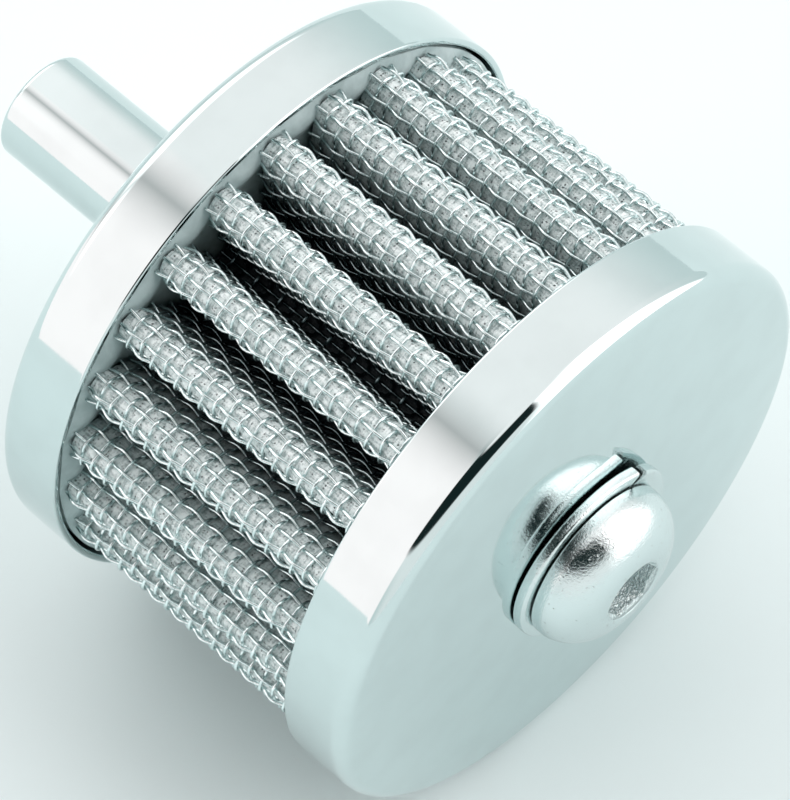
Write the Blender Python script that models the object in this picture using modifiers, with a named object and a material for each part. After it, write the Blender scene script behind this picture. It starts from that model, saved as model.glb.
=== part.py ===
"""Crankcase breather air filter: two chromed cups, a pleated element, a tube spigot and a cap screw.

Every piece is modelled in the filter's own frame, where +Z runs along the axis from the spigot's open end
to the front face. The empty "filter_axis" then lays that axis down along the world's -Y.
"""
import math

import bmesh
import bpy

MM = 0.001
COLLECTION = "breather_filter"
GAP = 0.3 * MM                      # between pieces that touch
TURN_STEPS = 48                     # facets around a turned piece

# Spigot tube
TUBE_RADIUS = 4.7625 * MM           # 3/8 in tube
TUBE_BORE = 3.175 * MM              # 1/4 in
TAPPED_BORE = 3.95 * MM             # where the cap screw's 5/16-18 thread engages
TAPPED_LENGTH = 12.8 * MM
SPIGOT_LENGTH = 21.8 * MM
TUBE_END_ROUND = 0.45 * MM
AIR_HOLE_RADIUS = 2.1 * MM
AIR_HOLE_PLACES = (32.0 * MM, 36.5 * MM, 41.0 * MM)

# Cups
CAP_RADIUS = 25.4 * MM
CAP_WALL = 0.6 * MM
CAP_EDGE = 1.2 * MM                 # outer edge rounding
FRONT_CROWN = 0.65 * MM             # how far the front face's middle stands proud of its edge
CROWN_RINGS = (18.0 * MM, 13.0 * MM, 8.5 * MM)
BODY_LENGTH = 37.0 * MM             # over both cups
REAR_CAP_HEIGHT = 6.15 * MM
FRONT_CAP_HEIGHT = 6.2 * MM
REAR_HOLE = TUBE_RADIUS + 0.15 * MM
SCREW_HOLE = 4.2 * MM

REAR_FACE = SPIGOT_LENGTH
FRONT_FACE = REAR_FACE + BODY_LENGTH
REAR_LIP = REAR_FACE + REAR_CAP_HEIGHT
FRONT_LIP = FRONT_FACE - FRONT_CAP_HEIGHT

# Pleated element
PLEATS = 25
FIRST_CREST = math.radians(121.0)   # place of one crest, from +X towards +Y
CREST_TIP = 24.45 * MM              # radius at the crests
CREST_ROUND = 1.8 * MM              # rounding of a crest's outer surface
VALLEY_ROUND = 0.45 * MM            # rounding of the outer surface at the bottom of a valley
VALLEY_CENTRE = 17.2 * MM
MESH_THICK = 0.35 * MM
PLY_THICK = 0.2 * MM
INNER_MESH_THICK = 0.3 * MM
SHEET_GAP = 0.12 * MM

# Potting compound
SEALANT_INNER = 13.0 * MM
SEALANT_BELOW_LIP = 0.35 * MM

# Stem collar, seal and front spacer
COLLAR_RADIUS = 8.0 * MM
COLLAR_HEIGHT = 3.2 * MM
SEAL_RADIUS = 8.6 * MM
SEAL_HEIGHT = 1.0 * MM
SPACER_RADIUS = 8.7 * MM
SPACER_HEIGHT = 1.75 * MM

# Lock washer, 5/16 in
LOCK_INNER = 4.15 * MM
LOCK_OUTER = 7.55 * MM
LOCK_THICK = 1.02 * MM
LOCK_LIFT = 0.1 * MM                # clear of the front face
LOCK_SPLIT_AT = math.radians(54.0)
LOCK_SPLIT = math.radians(4.0)
LOCK_EDGE = 0.35 * MM

# Button-head cap screw, 5/16-18 x 5/8
HEAD_RADIUS = 6.97 * MM
HEAD_RIM = 1.0 * MM
HEAD_HEIGHT = 4.2 * MM
HEAD_TOP_RADIUS = 3.0 * MM
SHANK_RADIUS = 3.6 * MM
SHANK_LENGTH = 15.9 * MM
SOCKET_ACROSS_FLATS = 4.7625 * MM
SOCKET_DEPTH = 2.6 * MM
HEAD_CLEARANCE = 0.1 * MM           # between the head and the washer

CHROME = ((0.80, 0.84, 0.85, 1.0), 0.06, 1.0)
STEEL = ((0.56, 0.58, 0.58, 1.0), 0.30, 1.0)
WIRE = ((0.70, 0.74, 0.74, 1.0), 0.25, 1.0)
GAUZE = ((0.80, 0.84, 0.83, 1.0), 0.90, 0.0)
SEALANT = ((0.33, 0.39, 0.39, 1.0), 0.55, 0.0)
FIBRE = ((0.32, 0.20, 0.13, 1.0), 0.80, 0.0)


def crowned_face(radius):
    """Height of the front face at this radius."""
    flat_radius = CAP_RADIUS - CAP_EDGE
    return FRONT_FACE + FRONT_CROWN * (1 - (radius / flat_radius) ** 2)


LOCK_BOTTOM = crowned_face(LOCK_INNER) + LOCK_LIFT
HEAD_SEAT = LOCK_BOTTOM + LOCK_THICK + HEAD_CLEARANCE
SPACER_TOP = crowned_face(SPACER_RADIUS) - CAP_WALL - GAP


def clear_scene():
    for old in list(bpy.data.objects):
        bpy.data.objects.remove(old, do_unlink=True)


def new_collection(name):
    collection = bpy.data.collections.new(name)
    bpy.context.scene.collection.children.link(collection)
    return collection


def make_material(name, finish):
    colour, roughness, metallic = finish
    material = bpy.data.materials.new(name)
    material.use_nodes = True
    shader = material.node_tree.nodes["Principled BSDF"]
    shader.inputs["Base Color"].default_value = colour
    shader.inputs["Roughness"].default_value = roughness
    shader.inputs["Metallic"].default_value = metallic
    return material


def add_part(name, mesh, finish):
    """A named object on the filter's axis, with its own material."""
    part = bpy.data.objects.new(name, mesh)
    mesh.materials.clear()
    mesh.materials.append(make_material(name + "_finish", finish))
    parts.objects.link(part)
    part.parent = filter_axis
    return part


def add_cutter(name, mesh, location=(0, 0, 0), rotation=(0, 0, 0)):
    cutter = bpy.data.objects.new(name, mesh)
    cutters.objects.link(cutter)
    cutter.parent = filter_axis
    cutter.location = location
    cutter.rotation_euler = rotation
    cutter.hide_render = True
    cutter.display_type = "WIRE"
    return cutter


def cut(part, cutter):
    boolean = part.modifiers.new(cutter.name, "BOOLEAN")
    boolean.operation = "DIFFERENCE"
    boolean.object = cutter


def arc(centre, radius, start, end, steps):
    """Points of an arc in the profile plane; angles in degrees."""
    points = []
    for step in range(steps + 1):
        angle = math.radians(start + (end - start) * step / steps)
        points.append((centre[0] + radius * math.cos(angle), centre[1] + radius * math.sin(angle)))
    return points


def ring_mesh(name, profile, angle=2 * math.pi, steps=TURN_STEPS):
    """Turn a closed (radius, height) outline about Z, listed down its outer side first."""
    outline = bpy.data.meshes.new(name + "_outline")
    count = len(profile)
    edges = [(i, (i + 1) % count) for i in range(count)]
    outline.from_pydata([(r, 0, z) for r, z in profile], edges, [])
    turned = bpy.data.objects.new(name + "_outline", outline)
    cutters.objects.link(turned)
    screw = turned.modifiers.new("turn", "SCREW")
    screw.axis = "Z"
    screw.angle = angle
    screw.steps = steps
    screw.render_steps = steps
    screw.use_merge_vertices = True
    screw.merge_threshold = 0.00001
    mesh = bpy.data.meshes.new_from_object(turned.evaluated_get(bpy.context.evaluated_depsgraph_get()))
    bpy.data.objects.remove(turned, do_unlink=True)
    mesh.name = name
    if angle < 2 * math.pi:
        close_ends(mesh)
    mesh.shade_smooth()
    mesh.set_sharp_from_angle(angle=math.radians(35))
    return mesh


def close_ends(mesh):
    """Cap the two open ends of a part-turned ring."""
    work = bmesh.new()
    work.from_mesh(mesh)
    open_edges = [edge for edge in work.edges if edge.is_boundary]
    bmesh.ops.holes_fill(work, edges=open_edges, sides=0)
    bmesh.ops.recalc_face_normals(work, faces=work.faces)
    work.to_mesh(mesh)
    work.free()


def plain_ring(name, inner, outer, bottom, top, finish, steps=TURN_STEPS):
    profile = [(outer, top), (outer, bottom), (inner, bottom), (inner, top)]
    return add_part(name, ring_mesh(name, profile, steps=steps), finish)


def cylinder_mesh(name, radius, depth, segments):
    work = bmesh.new()
    bmesh.ops.create_cone(work, cap_ends=True, segments=segments, radius1=radius, radius2=radius, depth=depth)
    mesh = bpy.data.meshes.new(name)
    work.to_mesh(mesh)
    work.free()
    return mesh


# ---- cups ----

def cup_profile(hole, height):
    """Outline of a cup with its face at height 0 and its lip at -height."""
    outer_edge = arc((CAP_RADIUS - CAP_EDGE, -CAP_EDGE), CAP_EDGE, 90, 0, 5)
    inner_round = CAP_EDGE - CAP_WALL
    inner_edge = arc((CAP_RADIUS - CAP_EDGE, -CAP_EDGE), inner_round, 0, 90, 3)
    lip = [(CAP_RADIUS, -height), (CAP_RADIUS - CAP_WALL, -height)]
    return [(hole, 0)] + outer_edge + lip + inner_edge + [(hole, -CAP_WALL)]


def make_front_cap():
    """The front cup, whose face is slightly crowned."""
    flat = [(r, FRONT_FACE + z) for r, z in cup_profile(SCREW_HOLE, FRONT_CAP_HEIGHT)]
    outer_face = [(r, crowned_face(r)) for r in (SCREW_HOLE, *reversed(CROWN_RINGS))]
    inner_face = [(r, crowned_face(r) - CAP_WALL) for r in (*CROWN_RINGS, SCREW_HOLE)]
    add_part("front_cap", ring_mesh("front_cap", outer_face + flat[1:-1] + inner_face), CHROME)


def make_rear_cap():
    mirrored = [(r, REAR_FACE - z) for r, z in cup_profile(REAR_HOLE, REAR_CAP_HEIGHT)]
    add_part("rear_cap", ring_mesh("rear_cap", list(reversed(mirrored))), CHROME)


# ---- stem ----

def make_stem_tube():
    top = SPACER_TOP - SPACER_HEIGHT - GAP
    end = arc((TUBE_RADIUS - TUBE_END_ROUND, TUBE_END_ROUND), TUBE_END_ROUND, 0, -90, 3)
    step = top - TAPPED_LENGTH
    drill_cone = TAPPED_BORE - TUBE_BORE
    bore = [(TUBE_BORE, 0), (TUBE_BORE, step - drill_cone), (TAPPED_BORE, step), (TAPPED_BORE, top)]
    profile = [(TUBE_RADIUS, top)] + end + bore
    tube = add_part("stem_tube", ring_mesh("stem_tube", profile, steps=32), CHROME)
    for number, place in enumerate(AIR_HOLE_PLACES):
        drill = cylinder_mesh("air_drill", AIR_HOLE_RADIUS, 4 * TUBE_RADIUS, 12)
        turn = math.radians(90 * (number % 2) + 11)
        cut(tube, add_cutter(f"air_hole_{number + 1}", drill, (0, 0, place), (0, math.pi / 2, turn)))


def make_stem_fittings():
    seal_bottom = REAR_FACE + CAP_WALL + GAP
    seal_top = seal_bottom + SEAL_HEIGHT
    collar_bottom = seal_top + GAP
    collar_top = collar_bottom + COLLAR_HEIGHT
    bore = TUBE_RADIUS + GAP
    chamfer = 0.5 * MM
    plain_ring("stem_seal", bore, SEAL_RADIUS, seal_bottom, seal_top, FIBRE, 32)
    profile = [
        (COLLAR_RADIUS - chamfer, collar_top),
        (COLLAR_RADIUS, collar_top - chamfer),
        (COLLAR_RADIUS, collar_bottom),
        (bore, collar_bottom),
        (bore, collar_top),
    ]
    add_part("stem_collar", ring_mesh("stem_collar", profile, steps=32), STEEL)
    spacer_bottom = SPACER_TOP - SPACER_HEIGHT
    plain_ring("front_spacer_washer", SCREW_HOLE + 0.1 * MM, SPACER_RADIUS, spacer_bottom, SPACER_TOP, STEEL, 32)


# ---- pleated element ----

def pleat_line(depth, crest_steps, valley_steps):
    """One closed line round the element, at this depth below its outer surface."""
    crest_centre = CREST_TIP - CREST_ROUND
    crest = CREST_ROUND - depth
    valley = VALLEY_ROUND + depth
    half_pitch = math.pi / PLEATS
    across = VALLEY_CENTRE * math.sin(half_pitch)
    along = crest_centre - VALLEY_CENTRE * math.cos(half_pitch)
    # The wall is the inner common tangent of the crest's circle and the valley's circle.
    lean = math.asin((crest + valley) / math.hypot(across, along)) - math.atan2(across, along)
    points = []
    for pleat in range(PLEATS):
        middle = FIRST_CREST + 2 * half_pitch * pleat
        for step in range(crest_steps + 1):
            angle = middle + (2 * step / crest_steps - 1) * (math.pi / 2 - lean)
            points.append(polar_sum(crest_centre, middle, crest, angle))
        valley_middle = middle + half_pitch
        sweep = math.pi / 2 - lean - half_pitch
        for step in range(valley_steps + 1):
            angle = valley_middle + math.pi + (1 - 2 * step / valley_steps) * sweep
            points.append(polar_sum(VALLEY_CENTRE, valley_middle, valley, angle))
    return points


def polar_sum(radius_a, angle_a, radius_b, angle_b):
    x = radius_a * math.cos(angle_a) + radius_b * math.cos(angle_b)
    y = radius_a * math.sin(angle_a) + radius_b * math.sin(angle_b)
    return (x, y)


def make_pleated_sheet(name, depth, thickness, finish, crest_steps=4, valley_steps=3):
    bottom = REAR_LIP - SEALANT_BELOW_LIP + GAP
    top = FRONT_LIP + SEALANT_BELOW_LIP - GAP
    curve = bpy.data.curves.new(name + "_outline", "CURVE")
    curve.dimensions = "2D"
    curve.fill_mode = "BOTH"
    curve.extrude = (top - bottom) / 2
    for line_depth in (depth, depth + thickness):
        spline = curve.splines.new("POLY")
        line = pleat_line(line_depth, crest_steps, valley_steps)
        spline.points.add(len(line) - 1)
        for point, (x, y) in zip(spline.points, line):
            point.co = (x, y, 0, 1)
        spline.use_cyclic_u = True
    outline = bpy.data.objects.new(name + "_outline", curve)
    cutters.objects.link(outline)
    mesh = bpy.data.meshes.new_from_object(outline.evaluated_get(bpy.context.evaluated_depsgraph_get()))
    bpy.data.objects.remove(outline, do_unlink=True)
    work = bmesh.new()
    work.from_mesh(mesh)
    bmesh.ops.remove_doubles(work, verts=work.verts, dist=0.000005)
    bmesh.ops.recalc_face_normals(work, faces=work.faces)
    work.to_mesh(mesh)
    work.free()
    sheet = add_part(name, mesh, finish)
    sheet.location = (0, 0, (top + bottom) / 2)


def make_element():
    depth = 0.0
    make_pleated_sheet("outer_wire_mesh", depth, MESH_THICK, WIRE)
    depth += MESH_THICK + SHEET_GAP
    make_pleated_sheet("gauze_outer_ply", depth, PLY_THICK, GAUZE)
    depth += PLY_THICK + SHEET_GAP
    make_pleated_sheet("gauze_inner_ply", depth, PLY_THICK, GAUZE)
    depth += PLY_THICK + SHEET_GAP
    make_pleated_sheet("inner_wire_mesh", depth, INNER_MESH_THICK, WIRE)


def make_seam_clip():
    """Folded strip inside one valley, along the element."""
    width = 1.6 * MM
    thick = 0.8 * MM
    place = 13.9 * MM
    angle = FIRST_CREST + math.pi / PLEATS + math.pi
    length = FRONT_LIP - REAR_LIP - 1.0 * MM
    work = bmesh.new()
    bmesh.ops.create_cube(work, size=1)
    bmesh.ops.scale(work, verts=work.verts, vec=(thick, width, length))
    lengthwise = [edge for edge in work.edges if abs(edge.verts[0].co.z - edge.verts[1].co.z) > length / 2]
    bmesh.ops.bevel(work, geom=lengthwise, offset=0.25 * MM, segments=2, affect="EDGES", profile=0.5)
    mesh = bpy.data.meshes.new("pleat_seam_clip")
    work.to_mesh(mesh)
    work.free()
    clip = add_part("pleat_seam_clip", mesh, STEEL)
    clip.location = (place * math.cos(angle), place * math.sin(angle), (FRONT_LIP + REAR_LIP) / 2)
    clip.rotation_euler = (0, 0, angle)


def make_sealant():
    outer = CAP_RADIUS - CAP_WALL - GAP
    rear_bottom = REAR_FACE + CAP_WALL + GAP
    front_top = FRONT_FACE - CAP_WALL - GAP
    corner = 0.5 * MM
    rear_top = REAR_LIP - SEALANT_BELOW_LIP
    rear = [
        (outer, rear_top),
        (outer, rear_bottom + corner),
        (outer - corner, rear_bottom),
        (SEALANT_INNER, rear_bottom),
        (SEALANT_INNER, rear_top),
    ]
    add_part("rear_sealant", ring_mesh("rear_sealant", rear), SEALANT)
    front_bottom = FRONT_LIP + SEALANT_BELOW_LIP
    front = [
        (outer - corner, front_top),
        (outer, front_top - corner),
        (outer, front_bottom),
        (SEALANT_INNER, front_bottom),
        (SEALANT_INNER, front_top),
    ]
    add_part("front_sealant", ring_mesh("front_sealant", front), SEALANT)


# ---- fastening ----

def make_lock_washer():
    bottom = LOCK_BOTTOM
    top = bottom + LOCK_THICK
    edge = LOCK_EDGE
    profile = [
        (LOCK_OUTER - edge, top),
        (LOCK_OUTER, top - edge),
        (LOCK_OUTER, bottom + edge),
        (LOCK_OUTER - edge, bottom),
        (LOCK_INNER, bottom),
        (LOCK_INNER, top),
    ]
    turn = 2 * math.pi - LOCK_SPLIT
    washer = add_part("lock_washer", ring_mesh("lock_washer", profile, angle=turn, steps=40), CHROME)
    washer.rotation_euler = (0, 0, LOCK_SPLIT_AT + LOCK_SPLIT / 2)


def dome_profile():
    """Outer side of the screw, from the centre of its head down to the shank's tip."""
    rise = HEAD_HEIGHT - HEAD_RIM
    run = HEAD_RADIUS - HEAD_TOP_RADIUS
    # One circle through the head's top edge and its rim, tangent to the flat top.
    radius = (rise * rise + run * run) / (2 * rise)
    full = math.degrees(math.asin(min(1.0, run / radius)))
    centre = (HEAD_TOP_RADIUS, HEAD_SEAT + HEAD_HEIGHT - radius)
    dome = arc(centre, radius, 90, 90 - full, 6)
    chamfer = 0.7 * MM
    tip = HEAD_SEAT - SHANK_LENGTH
    shank = [(SHANK_RADIUS, HEAD_SEAT), (SHANK_RADIUS, tip + chamfer), (SHANK_RADIUS - chamfer, tip), (0, tip)]
    return [(0, HEAD_SEAT + HEAD_HEIGHT)] + dome + [(HEAD_RADIUS, HEAD_SEAT)] + shank


def make_cap_screw():
    profile = dome_profile()
    outline = bpy.data.meshes.new("cap_screw")
    edges = [(i, i + 1) for i in range(len(profile) - 1)]
    outline.from_pydata([(r, 0, z) for r, z in profile], edges, [])
    screw = add_part("cap_screw", outline, CHROME)
    turn = screw.modifiers.new("turn", "SCREW")
    turn.axis = "Z"
    turn.steps = 36
    turn.render_steps = 36
    turn.use_merge_vertices = True
    turn.merge_threshold = 0.00001
    hexagon = cylinder_mesh("socket", SOCKET_ACROSS_FLATS / math.sqrt(3), 2 * SOCKET_DEPTH, 6)
    place = (0, 0, HEAD_SEAT + HEAD_HEIGHT)
    cut(screw, add_cutter("hex_socket", hexagon, place))


clear_scene()
parts = new_collection(COLLECTION)
cutters = new_collection("cutters")
filter_axis = bpy.data.objects.new("filter_axis", None)
filter_axis.rotation_euler = (math.pi / 2, 0, 0)
bpy.context.scene.collection.objects.link(filter_axis)

make_front_cap()
make_rear_cap()
make_stem_tube()
make_stem_fittings()
make_element()
make_seam_clip()
make_sealant()
make_lock_washer()
make_cap_screw()
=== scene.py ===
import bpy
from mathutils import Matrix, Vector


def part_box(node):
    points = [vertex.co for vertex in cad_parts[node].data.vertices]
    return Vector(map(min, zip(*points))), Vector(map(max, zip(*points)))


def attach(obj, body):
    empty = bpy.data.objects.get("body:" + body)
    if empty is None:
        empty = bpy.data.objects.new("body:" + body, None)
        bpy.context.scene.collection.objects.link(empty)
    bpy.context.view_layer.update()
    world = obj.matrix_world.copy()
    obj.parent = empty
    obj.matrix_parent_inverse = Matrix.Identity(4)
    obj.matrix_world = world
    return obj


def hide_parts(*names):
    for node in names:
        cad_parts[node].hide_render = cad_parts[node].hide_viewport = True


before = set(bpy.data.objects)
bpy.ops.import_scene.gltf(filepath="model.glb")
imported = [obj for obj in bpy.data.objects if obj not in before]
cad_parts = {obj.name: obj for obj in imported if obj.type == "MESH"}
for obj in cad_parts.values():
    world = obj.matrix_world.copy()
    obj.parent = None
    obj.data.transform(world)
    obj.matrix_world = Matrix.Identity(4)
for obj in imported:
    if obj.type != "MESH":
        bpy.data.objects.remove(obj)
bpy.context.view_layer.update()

"""Looks of a small crankcase breather filter.

The filter's axis lies along Y: the spigot's open end is at y = 0 and the front face with its cap screw
faces -Y. An angle round the axis is counted from +X towards +Z.
"""
import math

import bmesh
import bpy
from mathutils import Matrix, Vector, noise

MM = 0.001

# Sizes taken from the frame
FRONT_CAP_LOW, FRONT_CAP_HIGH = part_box("front_cap")
REAR_CAP_LOW, REAR_CAP_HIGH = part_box("rear_cap")
TUBE_LOW, TUBE_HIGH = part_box("stem_tube")
MESH_LOW, MESH_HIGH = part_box("outer_wire_mesh")
WASHER_LOW, WASHER_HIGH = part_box("lock_washer")
SCREW_LOW, SCREW_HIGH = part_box("cap_screw")

# Cups
CUP_RADIUS = FRONT_CAP_HIGH.x
CUP_WALL = 0.6 * MM
CUP_EDGE = 1.2 * MM
LIP_ROUND = 0.2 * MM
SCREW_HOLE = 4.2 * MM
FRONT_CROWN = 0.65 * MM             # how far the front face's middle stands proud of its edge
CUP_STEPS = 288
FACE_RINGS = 24
SUPPORT = 0.04 * MM                 # from a rounding to the ring of points that keeps it tight
HOLE_ROUND = 0.12 * MM
EDGE_ROLL = 0.2 * MM                # how far the front face curves back towards its edge
ROLL_START = 19.5 * MM


def crown(radius):
    """How far the front face stands proud at this radius."""
    return FRONT_CROWN * (1 - (radius / (CUP_RADIUS - CUP_EDGE)) ** 2)


FRONT_FACE = FRONT_CAP_LOW.y + crown(SCREW_HOLE)
FRONT_LIP = FRONT_CAP_HIGH.y
REAR_FACE = REAR_CAP_HIGH.y
REAR_LIP = REAR_CAP_LOW.y
FLOOR = -CUP_RADIUS
TUBE_RADIUS = TUBE_HIGH.x
TUBE_END = TUBE_HIGH.y
TUBE_TOP = TUBE_LOW.y
HEAD_TOP = SCREW_LOW.y
SHANK_TIP = SCREW_HIGH.y
HEAD_RADIUS = SCREW_HIGH.x

# Stem tube
STEM_HOLE = TUBE_RADIUS + 0.15 * MM
TUBE_BORE = 3.175 * MM
TAPPED_BORE = 3.95 * MM
TAPPED_LENGTH = 12.8 * MM
TUBE_END_ROUND = 0.45 * MM
BORE_ROUND = 0.2 * MM
AIR_HOLE_RADIUS = 2.1 * MM
AIR_HOLE_PLACES = (-32.0 * MM, -36.5 * MM, -41.0 * MM)

# Pleats
PLEATS = 25
FIRST_CREST = math.radians(121.0)
CREST_TIP = 24.45 * MM
CREST_ROUND = 1.8 * MM
VALLEY_ROUND = 0.45 * MM
VALLEY_CENTRE = 17.2 * MM

# Woven wire
WIRES_IN_A_PLEAT = 14
LENGTHWISE_WIRES = PLEATS * WIRES_IN_A_PLEAT
WIRE_RADIUS = 0.137 * MM
WIRE_SIDES = 6
WIRE_BOW = 0.16 * MM                # how far a wire leaves the middle of the weave
WEAVE_DEPTH = 0.26 * MM             # middle of the weave, below the crests' outer surface
HOOP_PITCH = 1.27 * MM
FIRST_HOOP = FRONT_FACE + 6.78 * MM
HOOPS = 19
SAMPLES_IN_A_CELL = 4
UNEVEN = 0.10 * MM
UNEVEN_SCALE = 260.0

# Gauze
GAUZE_DEPTH = 0.56 * MM
GAUZE_PUFF = 0.25 * MM
LINING_DEPTH = 0.89 * MM
THREAD_PITCH = 0.195 * MM

# Potting compound
SEALANT_INNER = 13.0 * MM
SEALANT_CORNER = 0.5 * MM
SEALANT_BOTTOM = 0.9 * MM           # below the cup's face
SEALANT_BELOW_LIP = 0.35 * MM
HUMP_PLACE = 22.9 * MM              # radius of the humps between the pleats
HUMP_WIDTH = 1.35 * MM
HUMP_HEIGHT = 0.62 * MM
HUMP_WOBBLE = 0.16 * MM

# Cap screw and lock washer
HEAD_HEIGHT = 4.2 * MM
HEAD_SEAT = SCREW_LOW.y + HEAD_HEIGHT
HEAD_RIM = 1.0 * MM
HEAD_FLAT = 3.0 * MM
THREAD_PITCH_SCREW = 25.4 * MM / 18
THREAD_MAJOR = 3.6 * MM
THREAD_MINOR = 3.12 * MM
SHANK_TIP_RADIUS = 2.6 * MM
SOCKET_ACROSS_FLATS = 4.7625 * MM
SOCKET_DEPTH = 2.6 * MM
WASHER_INNER = 4.15 * MM
WASHER_OUTER = 7.75 * MM
WASHER_FRONT_EDGE = 0.3 * MM
WASHER_BACK_EDGE = 0.12 * MM
WASHER_WORN_EDGE = 0.34 * MM        # more rounding where the back edge is worn
WORN_AT = math.radians(96)
WORN_OVER = math.radians(38)
SPLIT_START = math.radians(54.9)
SPLIT_END = math.radians(53.1)
SPRUNG_OUT = 0.95 * MM              # how far the washer's far end has sprung out
SPRUNG_OVER = math.radians(45)
START_SPRUNG_OUT = 0.6 * MM
START_SPRUNG_OVER = math.radians(16)
FLARE = 0.6 * MM                    # how far the far end's outer edge stands up
WASHER_STEPS = 180


# ---- Node trees ----

def find_socket(sockets, key):
    """The enabled socket with this number, identifier or name."""
    if isinstance(key, int):
        return [socket for socket in sockets if socket.enabled][key]
    for socket in sockets:
        if socket.enabled and key in (socket.identifier, socket.name):
            return socket
    raise KeyError(key)


class Flow:
    """What comes out of a socket. Its operators add Math nodes."""

    def __init__(self, bench, socket):
        self.bench = bench
        self.socket = socket

    def other(self, name):
        return Flow(self.bench, find_socket(self.socket.node.outputs, name))

    def math(self, operation, *values):
        return self.bench.math(operation, *values)

    def __add__(self, other):
        return self.math("ADD", self, other)

    def __radd__(self, other):
        return self.math("ADD", other, self)

    def __sub__(self, other):
        return self.math("SUBTRACT", self, other)

    def __rsub__(self, other):
        return self.math("SUBTRACT", other, self)

    def __mul__(self, other):
        return self.math("MULTIPLY", self, other)

    def __rmul__(self, other):
        return self.math("MULTIPLY", other, self)

    def __truediv__(self, other):
        return self.math("DIVIDE", self, other)

    def __pow__(self, other):
        return self.math("POWER", self, other)

    def __mod__(self, other):
        return self.math("FLOORED_MODULO", self, other)

    def sine(self):
        return self.math("SINE", self)

    def cosine(self):
        return self.math("COSINE", self)

    def size(self):
        return self.math("ABSOLUTE", self)

    def above(self, other):
        return self.math("GREATER_THAN", self, other)

    def highest(self, other):
        return self.math("MAXIMUM", self, other)

    def between(self, low, high, to_low=0.0, to_high=1.0, smooth=True):
        """Carry low..high over to to_low..to_high, held at both ends."""
        kind = "SMOOTHSTEP" if smooth else "LINEAR"
        sockets = {"Value": self, "From Min": low, "From Max": high, "To Min": to_low, "To Max": to_high}
        return self.bench.node("ShaderNodeMapRange", {"interpolation_type": kind}, sockets)


class Bench:
    """Fills one node tree."""

    def __init__(self, tree):
        self.tree = tree

    def node(self, kind, settings=None, sockets=None, out=0):
        made = self.tree.nodes.new(kind)
        for name, value in (settings or {}).items():
            setattr(made, name, value)
        for name, value in (sockets or {}).items():
            self.plug(find_socket(made.inputs, name), value)
        if not [socket for socket in made.outputs if socket.enabled]:
            return None
        return Flow(self, find_socket(made.outputs, out))

    def plug(self, socket, value):
        if isinstance(value, Flow):
            self.tree.links.new(value.socket, socket)
        else:
            socket.default_value = value

    def math(self, operation, *values):
        return self.node("ShaderNodeMath", {"operation": operation}, dict(enumerate(values)))

    def mix(self, factor, first, second):
        """Mix two colours."""
        settings = {"data_type": "RGBA"}
        sockets = {"Factor": factor, "A": opaque(first), "B": opaque(second)}
        return self.node("ShaderNodeMix", settings, sockets)

    def noise(self, vector, scale, detail=2.0, roughness=0.5):
        sockets = {"Vector": vector, "Scale": scale, "Detail": detail, "Roughness": roughness}
        return self.node("ShaderNodeTexNoise", None, sockets)

    def stretched(self, vector, scale):
        return self.node("ShaderNodeMapping", None, {"Vector": vector, "Scale": scale})

    def axis(self, vector, name):
        return self.node("ShaderNodeSeparateXYZ", None, {"Vector": vector}, name)

    def bump(self, height, distance, strength=1.0):
        sockets = {"Height": height, "Distance": distance, "Strength": strength}
        return self.node("ShaderNodeBump", None, sockets)


def opaque(colour):
    if isinstance(colour, Flow):
        return colour
    return (*colour, 1.0)


CHROME_COLOUR = (0.62, 0.72, 0.72)


def shown_in_chrome(level):
    """The light that chrome mirrors as a grey of this display level, 0 to 255, cooler where it is darker."""
    linear = ((level / 255 + 0.055) / 1.055) ** 2.4
    tint = 1 - 0.6 * (1 - linear)
    return (linear * tint / CHROME_COLOUR[0], linear / CHROME_COLOUR[1], linear / CHROME_COLOUR[2])


class Finish:
    """A material with one Principled shader."""

    def __init__(self, name, **constants):
        self.material = bpy.data.materials.new(name)
        self.material.use_nodes = True
        self.shader = self.material.node_tree.nodes["Principled BSDF"]
        self.bench = Bench(self.material.node_tree)
        for socket, value in constants.items():
            self.shader.inputs[socket.replace("_", " ")].default_value = value

    def place(self):
        """Object coordinates, in millimetres."""
        coordinates = self.bench.node("ShaderNodeTexCoord", None, None, "Object")
        return self.bench.stretched(coordinates, (1 / MM,) * 3)

    def on_sheet(self):
        """The piece's own UV map."""
        return self.bench.node("ShaderNodeTexCoord", None, None, "UV")

    def feed(self, socket, value):
        self.bench.plug(self.shader.inputs[socket], value)


# ---- Meshes ----

def round_axis(radius, angle, y):
    return Vector((radius * math.cos(angle), y, radius * math.sin(angle)))


def arc(centre, radius, start, end, steps):
    """Points of an arc; angles in degrees from outwards towards +Y."""
    points = []
    for step in range(steps + 1):
        angle = math.radians(start + (end - start) * step / steps)
        points.append((centre[0] + radius * math.cos(angle), centre[1] + radius * math.sin(angle)))
    return points


def new_piece(name, mesh, sharp=32.0):
    """Link a mesh as a piece with its doubles merged, its faces outwards and its edges marked."""
    work = bmesh.new()
    work.from_mesh(mesh)
    bmesh.ops.remove_doubles(work, verts=work.verts, dist=0.0005 * MM)
    bmesh.ops.dissolve_degenerate(work, edges=work.edges, dist=0.0005 * MM)
    bmesh.ops.recalc_face_normals(work, faces=work.faces)
    work.to_mesh(mesh)
    work.free()
    mesh.shade_smooth()
    mesh.set_sharp_from_angle(angle=math.radians(sharp))
    mesh.name = name
    piece = bpy.data.objects.new(name, mesh)
    bpy.context.scene.collection.objects.link(piece)
    return piece


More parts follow.
